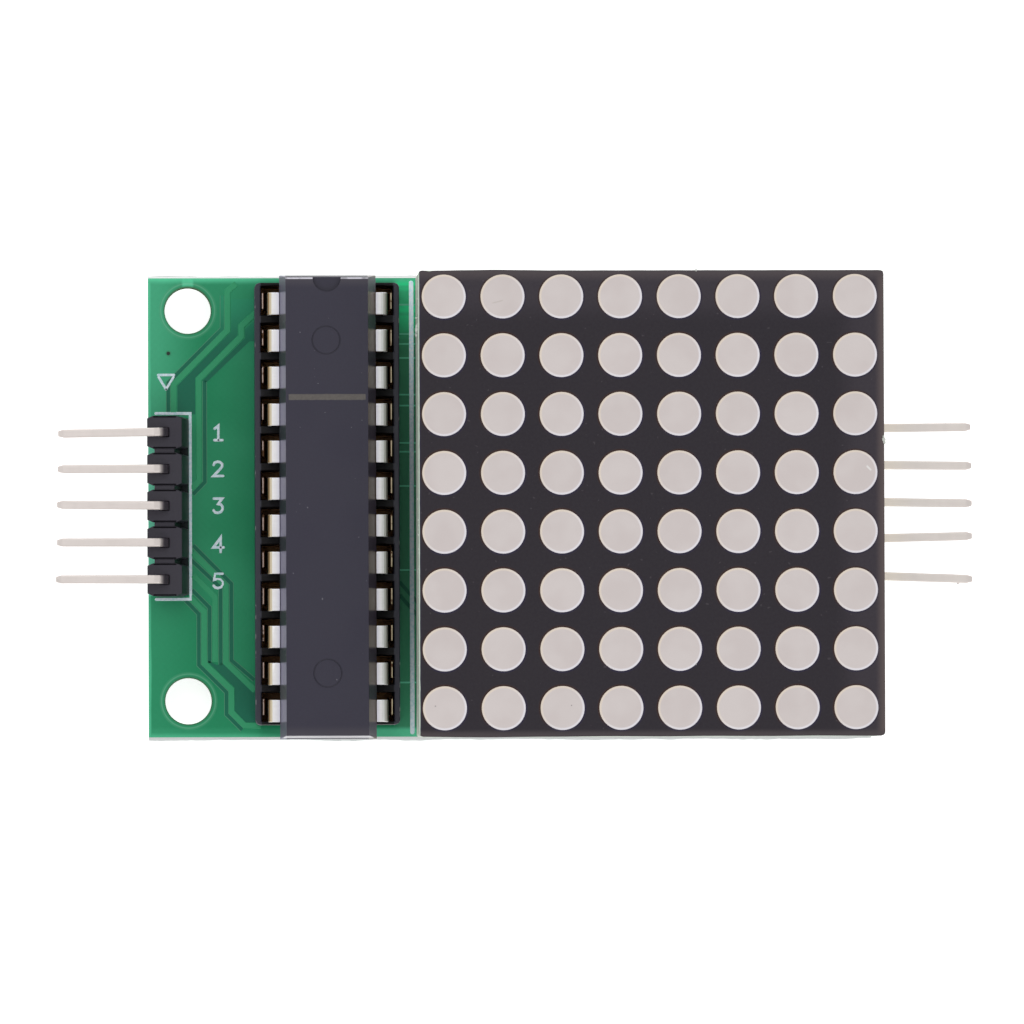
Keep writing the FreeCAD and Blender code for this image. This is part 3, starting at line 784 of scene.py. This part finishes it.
# Each clearance, with a pale strip a little wider under it: painted highlights on the pour's edges
for line in clear_lines:
    rims.stroke(line, CLEAR + 0.08, BOARD_TOP, RIM_RISE)
    clears.stroke(line, CLEAR, BOARD_TOP, CLEAR_RISE)
for outline in clear_patches:
    turned = sum(a[0] * b[1] - b[0] * a[1] for a, b in zip(outline, outline[1:] + outline[:1]))
    clears.patch(outline if turned < 0 else outline[::-1], BOARD_TOP, CLEAR_RISE)
for line in trace_lines:
    traces.stroke(line, TRACE, BOARD_TOP, TRACE_RISE)
# Tracks that run from the chip to under the display, drawn as thin pale lines: painted highlights where their
# edges catch the light
for y in (13.89, 11.86, 11.17, 10.2, 7.66, 6.9, 4.32, 3.71, 1.34, -4.47, -12.25):
    faint.stroke([(-7.65, y), (-3.0, y)], ROW_LINE, BOARD_TOP, ROW_RISE)
for first, last in (((-7.65, -5.3), (-6.0, -7.2)), ((-7.65, -6.2), (-6.0, -8.1))):
    clears.stroke([first, last], CLEAR, BOARD_TOP, CLEAR_RISE)
# Underside: tracks between the rows of joints, plain and regular
strip_rows = (CASE_X - CASE_ROW_HALF, CASE_X + CASE_ROW_HALF)
for i, y in enumerate(row(8, PITCH, CASE_Y)):
    bent = y + (0.9 if i % 2 else -0.9)
    for first, last in ((CHIP_X + LEAD_ROW / 2, strip_rows[0]), strip_rows):
        x0, x1 = first + 1.3, last - 1.3
        is_long = x1 - x0 > 6
        line = [(x0, bent), (x0 + 1.2, bent), (x0 + 2.0, y), (x1, y)] if is_long else [(x0, y), (x1, y)]
        clears.stroke(line, 0.8, -0.008, 0.004)
        traces.stroke(line, 0.36, -0.03, 0.012)
# Painted highlights along the covered tracks' edges
faint.piece("covered_row_highlights", mask_paint("solder_mask_row_highlight", (110, 216, 176), 0.6), "solder_mask")
# Painted highlights along the pour's edges
rims.piece("pour_edge_highlights", mask_paint("solder_mask_rim_highlight", (78, 150, 116), 0.6), "solder_mask")
# The clearances, painted paler towards the back: painted light
clears.piece("bare_gaps", mask_paint("solder_mask_bare_and_back_light", (24, 112, 86), 0.6, (44, 154, 112)),
             "solder_mask")
traces.piece("copper_tracks", mask_paint("solder_mask_trace", (54, 158, 110)), "solder_mask")

# A via and its open hole, the hole drawn as a dark disc: painted shade
VIA = (-23.59, 10.54)
via, via_hole_shade = Sheet(), Sheet()
via.ring(*VIA, 0.13, 0.2, BOARD_TOP, 0.015, 20)
via.piece("via_ring", mask_paint("solder_mask_via", (60, 150, 110)), "solder_mask")
via_hole_shade.ring(*VIA, 0.0001, 0.135, BOARD_TOP, 0.01, 20)
via_hole_shade.piece("via_hole_shade_disc", moulded("via_hole_shade_dark", (8, 30, 22), (16, 48, 36)), "solder_mask")

# Printing: the header's outline, the line beside the display, five digits and a pin mark
DIGIT_X, DIGIT_WIDE, DIGIT_HIGH = -20.17, 1.15, 1.02
bowl = [(0.26, -0.06), (0.27, -0.24), (0.16, -0.42), (-0.02, -0.485), (-0.18, -0.45), (-0.28, -0.32)]
digits = (
    ([(-0.2, 0.3), (0.02, 0.485), (0.02, -0.485)], [(-0.22, -0.485), (0.26, -0.485)]),
    ([(-0.27, 0.27), (-0.2, 0.42), (-0.03, 0.485), (0.12, 0.45), (0.24, 0.33), (0.24, 0.16), (0.12, -0.02),
      (-0.28, -0.485), (0.3, -0.485)],),
    ([(-0.26, 0.485), (0.24, 0.485), (0.0, 0.12), (0.16, 0.08)] + bowl,),
    ([(0.14, -0.485), (0.14, 0.485), (-0.3, -0.18), (0.32, -0.18)],),
    ([(0.25, 0.485), (-0.2, 0.485), (-0.25, 0.08), (-0.05, 0.14), (0.14, 0.1)] + bowl,),
)
printed = [([(-24.46, 6.38), (-22.09, 6.38), (-22.09, -6.46), (-24.46, -6.46)], 0.21),
           ([(PRINTED_LINE_X, 15.4), (PRINTED_LINE_X, -15.68)], 0.31)]
for digit, y in zip(digits, (5.03, 2.55, 0.0, -2.7, -5.2)):
    for stroke in digit:
        printed.append(([(DIGIT_X + px * DIGIT_WIDE, y + py * DIGIT_HIGH) for px, py in stroke], 0.19))
printed += [([(-24.3, 9.05), (-23.2, 9.05)], 0.18), ([(-24.26, 8.9), (-23.75, 8.05)], 0.18),
            ([(-23.24, 8.9), (-23.75, 8.05)], 0.18)]
silk = Sheet()
for line, width in printed:
    silk.stroke(line, width, BOARD_TOP, INK_RISE, caps=True)
silk.piece("silkscreen", silk_paint(), "solder_mask")

# Broken glass fibre along the two scored edges
FRINGE_STEPS = 260
random = Random(7)
fringe = Sheet()
for side, least, most in ((-1, 0.05, 0.09), (1, 0.02, 0.05)):
    outer = []
    lean = 0.0
    for i in range(FRINGE_STEPS + 1):
        lean = 0.8 * lean + 0.2 * random.uniform(-1, 1)
        long_wave = math.sin(i * 0.21) * 0.25 + math.sin(i * 0.083 + 1) * 0.3
        out = least + most * max(0.0, 0.5 + lean + long_wave)
        outer.append((-BOARD_X + 2 * BOARD_X * i / FRINGE_STEPS, BOARD_Y + side * (BOARD_HALF_Y + out)))
    root = BOARD_Y + side * (BOARD_HALF_Y - 0.05)
    fringe.add([(x, root + (y - root) * share + random.uniform(-0.008, 0.008) * share, z)
                for z, share in ((0.55, 0.0), (0.62, 0.8), (0.8, 1.0), (0.98, 0.85), (1.05, 0.0))
                for x, y in outer], bands(5, FRINGE_STEPS + 1, closed=False))
glass = Paint("score_fibre", 0.8)
fibre = glass.noise(1.6, 4.0, (6.0, 1.0, 10.0), 0.7)
glass.bump(fibre, 0.03)
fringe.piece("score_fringe", glass.finish(glass.mix(fibre, (222, 228, 226), (248, 249, 249))),
             "solder_mask", smooth=True)


# ---- Solder under the board ----

joint_places = [(x, y) for xs, count, centre in (
    ((CHIP_X - LEAD_ROW / 2, CHIP_X + LEAD_ROW / 2), 12, CHIP_Y), ((INPUT_X,), 5, INPUT_Y),
    ((OUTPUT_X,), 5, OUTPUT_Y), (strip_rows, 8, CASE_Y)) for x in xs for y in row(count, PITCH, centre)]
joint_places += [(CAN_START[0] + CAN_LENGTH + 0.9, y) for y in row(2, 1.5, CAN_START[1])]
joint_places += [(x, CERAMIC_MIDDLE[1]) for x in row(2, PITCH, CERAMIC_MIDDLE[0])]
joint_places += [(x, RESISTOR_MIDDLE[1]) for x in row(2, RESISTOR_LENGTH + 1.8, RESISTOR_MIDDLE[0])]
joints, pads = Sheet(), Sheet()
for x, y in joint_places:
    dx, dy = random.uniform(-0.03, 0.03), random.uniform(-0.03, 0.03)
    tall = random.uniform(0.92, 1.0)
    joints.turned(x + dx, y + dy, [(0.0, 0.0), (0.74, 0.0), (0.73, -0.06), (0.6, -0.18), (0.46, -0.38),
                                   (0.37, -0.62), (0.33, -0.86 * tall), (0.32, -1.06 * tall),
                                   (0.27, -1.16 * tall), (0.0, -1.2 * tall)], 20)
    pads.ring(x, y, 0.6, 0.8, -0.03, 0.028, 24)
joints.piece("solder_joints", metal("solder_bright", (176, 178, 180), (214, 216, 218), 0.28, 0.9),
             "solder", smooth=True,
             replaces=("chip_socket_solder", "input_header_solder", "output_header_solder",
                       "display_strip_solder", "small_part_solder"))
pads.piece("solder_pads", metal("pad_tin", (180, 182, 184), (205, 208, 210), 0.35, 0.9), "solder")


# ---- Chip, leads, socket and headers ----

dress("chip_body", chip_paint(), 0.05)
dress("chip_leads", lead_paint(), 0.06, 3, 15)
dress("chip_socket_frame", socket_paint(), 0.08)
dress("chip_socket_contacts", contact_paint(), 0.02)
cells = Sheet()
for x in (CHIP_X - CELL_X, CHIP_X + CELL_X):
    x0, x1 = x - CELL_WIDTH / 2, x + CELL_WIDTH / 2
    for y in row(12, PITCH, SOCKET_Y):
        y0, y1 = y - CELL_LENGTH / 2, y + CELL_LENGTH / 2
        cells.patch([(x0, y0), (x0, y1), (x1, y1), (x1, y0)], BOARD_TOP, 0.5)
# Cell floors in the cells' deep shade: their brown is real, its paleness is painted light that lets it show
cells.piece("socket_cell_floors", moulded("socket_floor_painted_light", (190, 128, 76), (226, 164, 104)),
            "socket_plastic")
plating = pin_paint()
for side, header_y in (("input", INPUT_Y), ("output", OUTPUT_Y)):
    dress(side + "_header_block", header_paint(side + "_header_plastic", header_y), 0.05)
    for number in range(1, 6):
        dress(side + "_pin_" + str(number), plating, 0.08, 3, 15)


# ---- Display ----

def to_square(c, s, x0, x1, y0, y1, is_corner):
    """Where a ray from a window's middle meets the edge of its cell."""
    edge_x, edge_y = x1 if c > 0 else x0, y1 if s > 0 else y0
    if is_corner:
        return edge_x, edge_y
    if abs(c) > abs(s):
        return edge_x, min(max(s / abs(c) * abs(edge_x), y0), y1)
    return min(max(c / abs(s) * abs(edge_y), x0), x1), edge_y


def to_outline(x, y):
    """Rounds the display's corners and lets its front and back edges wander, from its middle."""
    inner = CASE_HALF - CORNER
    rx, ry = abs(x) - inner, abs(y) - inner
    if rx > 0 and ry > 0:
        pull = CORNER / math.hypot(rx, ry)
        x, y = math.copysign(inner + rx * pull, x), math.copysign(inner + ry * pull, y)
    bulge = math.exp(-((x + 10.6) / 2.4) ** 2)
    if y > CASE_HALF - 0.01:
        nick = math.exp(-((x + 15.1) / 0.2) ** 2)
        y += 0.045 * bulge - 0.004 * (1 + math.sin(2.6 * x + 1)) - 0.08 * nick
    elif y < 0.01 - CASE_HALF:
        y -= 0.05 * bulge + 0.012 * (1 + math.sin(0.9 * x + 1))
    return x + CASE_X, y + CASE_Y


def on_outline(x, y):
    inner = CASE_HALF - CORNER
    x, y = abs(x - CASE_X), abs(y - CASE_Y)
    return abs(x - CASE_HALF) < 1e-6 or abs(y - CASE_HALF) < 0.09 or (x > inner and y > inner)


def display_face(sides=96):
    """The face plate: each window's cell is a ring of quads out to its square."""
    low = CASE_TOP - FACE_THICK
    limits_x = [CASE_LEFT] + [DOT_X + (i - 3) * DOT_PITCH for i in range(7)] + [CASE_RIGHT]
    limits_y = [CASE_FRONT] + [DOT_Y + (i - 3) * DOT_PITCH for i in range(7)] + [CASE_BACK]
    form = Sheet()
    for i, cx in enumerate(row(8, DOT_PITCH, DOT_X)):
        for j, cy in enumerate(row(8, DOT_PITCH, DOT_Y)):
            cell = limits_x[i] - cx, limits_x[i + 1] - cx, limits_y[j] - cy, limits_y[j + 1] - cy
            square = []
            for k, (c, s) in enumerate(circle(sides)):
                px, py = to_square(c, s, *cell, is_corner=k % (sides // 4) == sides // 8)
                square.append(to_outline(px + cx - CASE_X, py + cy - CASE_Y))
            points = [(x, y, CASE_TOP) for x, y in square]
            for wider, z in ((0.025, CASE_TOP), (0.01, CASE_TOP - 0.01), (0.005, CASE_TOP - 0.03),
                             (0.0, low)):
                points += [(cx + c * (DOT_R + wider), cy + s * (DOT_R + wider), z) for c, s in circle(sides)]
            form.add(points, bands(5, sides))
            for a, b in zip(square, square[1:] + square[:1]):
                if on_outline(*a) and on_outline(*b):
                    form.add([(*a, CASE_TOP), (*b, CASE_TOP), (*b, low), (*a, low)], [[0, 1, 2, 3]])
    return form


def display_case():
    """The white moulding: round corners and a recess in the rear."""
    half, inner = CASE_HALF, CASE_HALF - REAR_WALL
    loops = [rounded_loop(*loop) for loop in (
        (inner - 0.1, 0.25, CASE_LOW + REAR_RECESS), (inner, 0.3, CASE_LOW + 0.05),
        (inner + 0.05, 0.3, CASE_LOW), (half - 0.06, CORNER, CASE_LOW),
        (half, CORNER, CASE_LOW + 0.06), (half, CORNER, CASE_TOP - FACE_THICK))]
    count = len(loops[0])
    verts = [v for loop in loops for v in loop]
    ends = [list(range(count)), list(range(len(verts) - count, len(verts)))]
    return verts, bands(len(loops), count) + ends


display_face().piece("display_face_plate", face_paint(), "display_black", replaces=("display_face",))
make("display_case", *display_case(), body_paint(), "display_body", replaces=("display_body",))

lenses = Sheet()
dot_profile = [(radius, CASE_TOP - down) for radius, down in (
    (0.0, 0.014), (0.7, 0.014), (1.28, 0.014), (1.36, 0.006), (1.44, 0.004), (1.48, 0.008), (DOT_R, 0.02),
    (DOT_R, FACE_THICK))]
for x in row(8, DOT_PITCH, DOT_X):
    for y in row(8, DOT_PITCH, DOT_Y):
        lenses.turned(x, y, dot_profile, 64)
lenses.piece("display_dots", dot_paint(), "display_body", smooth=True)

# Flash left on the trimmed edge of the left wall, chips of the face's rim, a white fleck on the face as a
# painted glint, and a burr on a pin
rough = Random(5)
flash_and_glint, burr = Sheet(), Sheet()
for y, size in ((11.9, 0.2), (11.65, 0.26), (11.35, 0.2), (12.5, 0.1)):
    flash_and_glint.blob(rough, CASE_LEFT, y, 11.5 + rough.uniform(-0.5, 0.5), 0.16, size, size * 3)
for _ in range(70):
    y, size = rough.uniform(-15.2, 15.2), rough.uniform(0.03, 0.09)
    flash_and_glint.blob(rough, CASE_LEFT, y, rough.uniform(8.5, 14.3), size * 0.6, size, size * 1.5)
# Chips of the face's rim; the last fleck, on the face at (12.2, -11.24), is a painted glint
for x, y, size in ((25.05, 4.05, 0.12), (25.09, 3.85, 0.1), (25.04, 4.25, 0.07), (12.3, 15.6, 0.07),
                   (12.2, -11.24, 0.04)):
    flash_and_glint.blob(rough, x, y, CASE_TOP, size, size * 1.3, 0.07)
flash_and_glint.piece("trimmed_flash_and_glint", moulded("flash_and_glint_white", (196, 200, 192), (228, 230, 226), 3.0, 0.6, 0.02),
            "display_body", smooth=True)
burr.blob(rough, 30.8, -5.55, 4.9, 0.1, 0.09, 0.08)
burr.piece("pin_burr", plating, "pin_plating", smooth=True)


# ---- Hidden parts ----

dress("led_board", mask_paint("led_board_mask", (214, 214, 208)))
resin = Paint("backfill_resin", 0.25)
resin.bump(resin.noise(0.6), 0.05)
dress("display_backfill", resin.finish(resin.mix(resin.noise(0.4, 3.0), (196, 186, 160), (216, 208, 186))))
wire = metal("tinned_wire", (190, 190, 190), (220, 220, 222), 0.3, 0.95, (1.0, 1.0, 0.3), 5.0)
for name in ("display_pins", "electrolytic_wires", "ceramic_wires", "resistor_wires"):
    dress(name, wire, 0.08)
strip_black = moulded("strip_plastic", (38, 37, 42), (52, 50, 55), 6.0, 0.5, 0.01)
for name in ("left_display_strip", "right_display_strip"):
    dress(name, strip_black, 0.08)

# The electrolytic: a dark sleeve with a pale stripe, bare at one end, rubber at the other
can = Paint("can_sleeve", 0.35)
stripe = can.times(can.near(can.z, CAN_START[2], 0.7, 0.02), can.ramp(can.y, 7.5, 7.7, 1.0, 0.0))
colour = can.mix(can.noise(0.6), (26, 34, 52), (34, 43, 62))
colour = can.mix(stripe, colour, (172, 178, 186))
colour = can.mix(can.ramp(can.x, 2.22, 2.26, 1.0, 0.0), colour, (190, 190, 192))
colour = can.mix(can.ramp(can.x, 9.02, 9.06), colour, (36, 35, 36))
can.bump(can.noise(3.0), 0.01)
profile = [(0, 0.06), (1.5, 0.06), (1.6, 0.0), (1.75, 0.0), (1.93, 0.05), (CAN_R, 0.16), (CAN_R, 5.7),
           (1.94, 5.85), (1.86, 6.0), (1.86, 6.15), (1.94, 6.3), (CAN_R, 6.4), (CAN_R, 6.8), (1.9, 6.98),
           (1.7, CAN_LENGTH), (1.62, 6.9), (0, 6.9)]
make("electrolytic_detail", *spin(profile, CAN_START, "x", 40), can.finish(colour), "can_sleeve",
     smooth=True, replaces=("electrolytic_can",))

profile = [(0, -0.9), (0.8, -0.88), (1.3, -0.74), (1.62, -0.45), (1.78, -0.1), (1.8, 0.05), (1.76, 0.2),
           (1.58, 0.5), (1.25, 0.76), (0.75, 0.88), (0, 0.9)]
make("ceramic_dip_body", *spin(profile, CERAMIC_MIDDLE, "y", 36),
     moulded("ceramic_dip", (176, 104, 44), (200, 126, 60), 2.0, 0.35, 0.02),
     "ceramic_dip", smooth=True, replaces=("ceramic_capacitor",))

coat = Paint("resistor_coat", 0.38)
colour = coat.mix(coat.noise(1.2), (206, 178, 132), (218, 192, 148))
for x, band in ((6.9, (92, 50, 26)), (7.9, (22, 20, 20)), (8.9, (206, 96, 34)),
                (10.9, (176, 140, 66))):
    colour = coat.mix(coat.near(coat.x, x, 0.26), colour, band)
coat.bump(coat.noise(2.5), 0.015)
profile = [(0, 0), (0.45, 0.0), (0.8, 0.12), (1.05, 0.4), (1.15, 0.8), (1.12, 1.2), (0.98, 1.6), (0.95, 3.15),
           (0.98, 4.7), (1.12, 5.1), (1.15, 5.5), (1.05, 5.9), (0.8, 6.18), (0.45, RESISTOR_LENGTH),
           (0, RESISTOR_LENGTH)]
resistor_start = (RESISTOR_MIDDLE[0] - RESISTOR_LENGTH / 2, *RESISTOR_MIDDLE[1:])
make("resistor_detail", *spin(profile, resistor_start, "x", 32), coat.finish(colour), "resistor_coat",
     smooth=True, replaces=("resistor_body",))


# ---- Studio ----

floor = bpy.data.meshes.new("floor")
floor.from_pydata([Vector((x * FLOOR_REACH, y * FLOOR_REACH, FLOOR_Z)) * MM
                   for x, y in ((-1, -1), (1, -1), (1, 1), (-1, 1))], [], [[0, 1, 2, 3]])
floor_object = bpy.data.objects.new("floor", floor)
floor.materials.append(floor_paint())
bpy.context.scene.collection.objects.link(floor_object)

world = bpy.data.worlds.new("studio")
bpy.context.scene.world = world
world.use_nodes = True
world.node_tree.nodes["Background"].inputs["Color"].default_value = (1.0, 1.0, 1.0, 1.0)
world.node_tree.nodes["Background"].inputs["Strength"].default_value = WORLD_LEVEL


def lamp(name, place, size, watts):
    """A square lamp, its place and size in metres, aimed a little over the board's middle."""
    light = bpy.data.lights.new(name, "AREA")
    light.shape = "SQUARE"
    light.size = size
    light.energy = watts
    holder = bpy.data.objects.new(name, light)
    holder.location = place
    holder.rotation_euler = (Vector((0, 0, 0.005)) - Vector(place)).to_track_quat("-Z", "Y").to_euler()
    bpy.context.scene.collection.objects.link(holder)


lamp("soft_top", (-0.15, 0.35, 0.75), 0.5, 0.9)
lamp("soft_front", (0.2, -0.5, 0.45), 0.4, 0.5)

camera_data = bpy.data.cameras.new("camera")
camera_data.sensor_fit = "HORIZONTAL"
camera_data.sensor_width = SENSOR
camera_data.lens = PX_PER_MM * CAMERA_DISTANCE / PICTURE_PX * SENSOR
camera_data.clip_start = 0.05
camera_data.clip_end = 20.0
camera = bpy.data.objects.new("camera", camera_data)
turn = Matrix.Identity(3)
for axis, degrees in CAMERA_TURN.items():
    turn = turn @ Matrix.Rotation(math.radians(degrees), 3, axis)
back = turn.transposed()
place = (Vector(CAMERA_AIM) + back @ Vector((0, 0, CAMERA_DISTANCE))) * MM
camera.matrix_world = Matrix.Translation(place) @ back.to_4x4()
bpy.context.scene.collection.objects.link(camera)
bpy.context.scene.camera = camera
bpy.context.scene.view_settings.view_transform = "Standard"
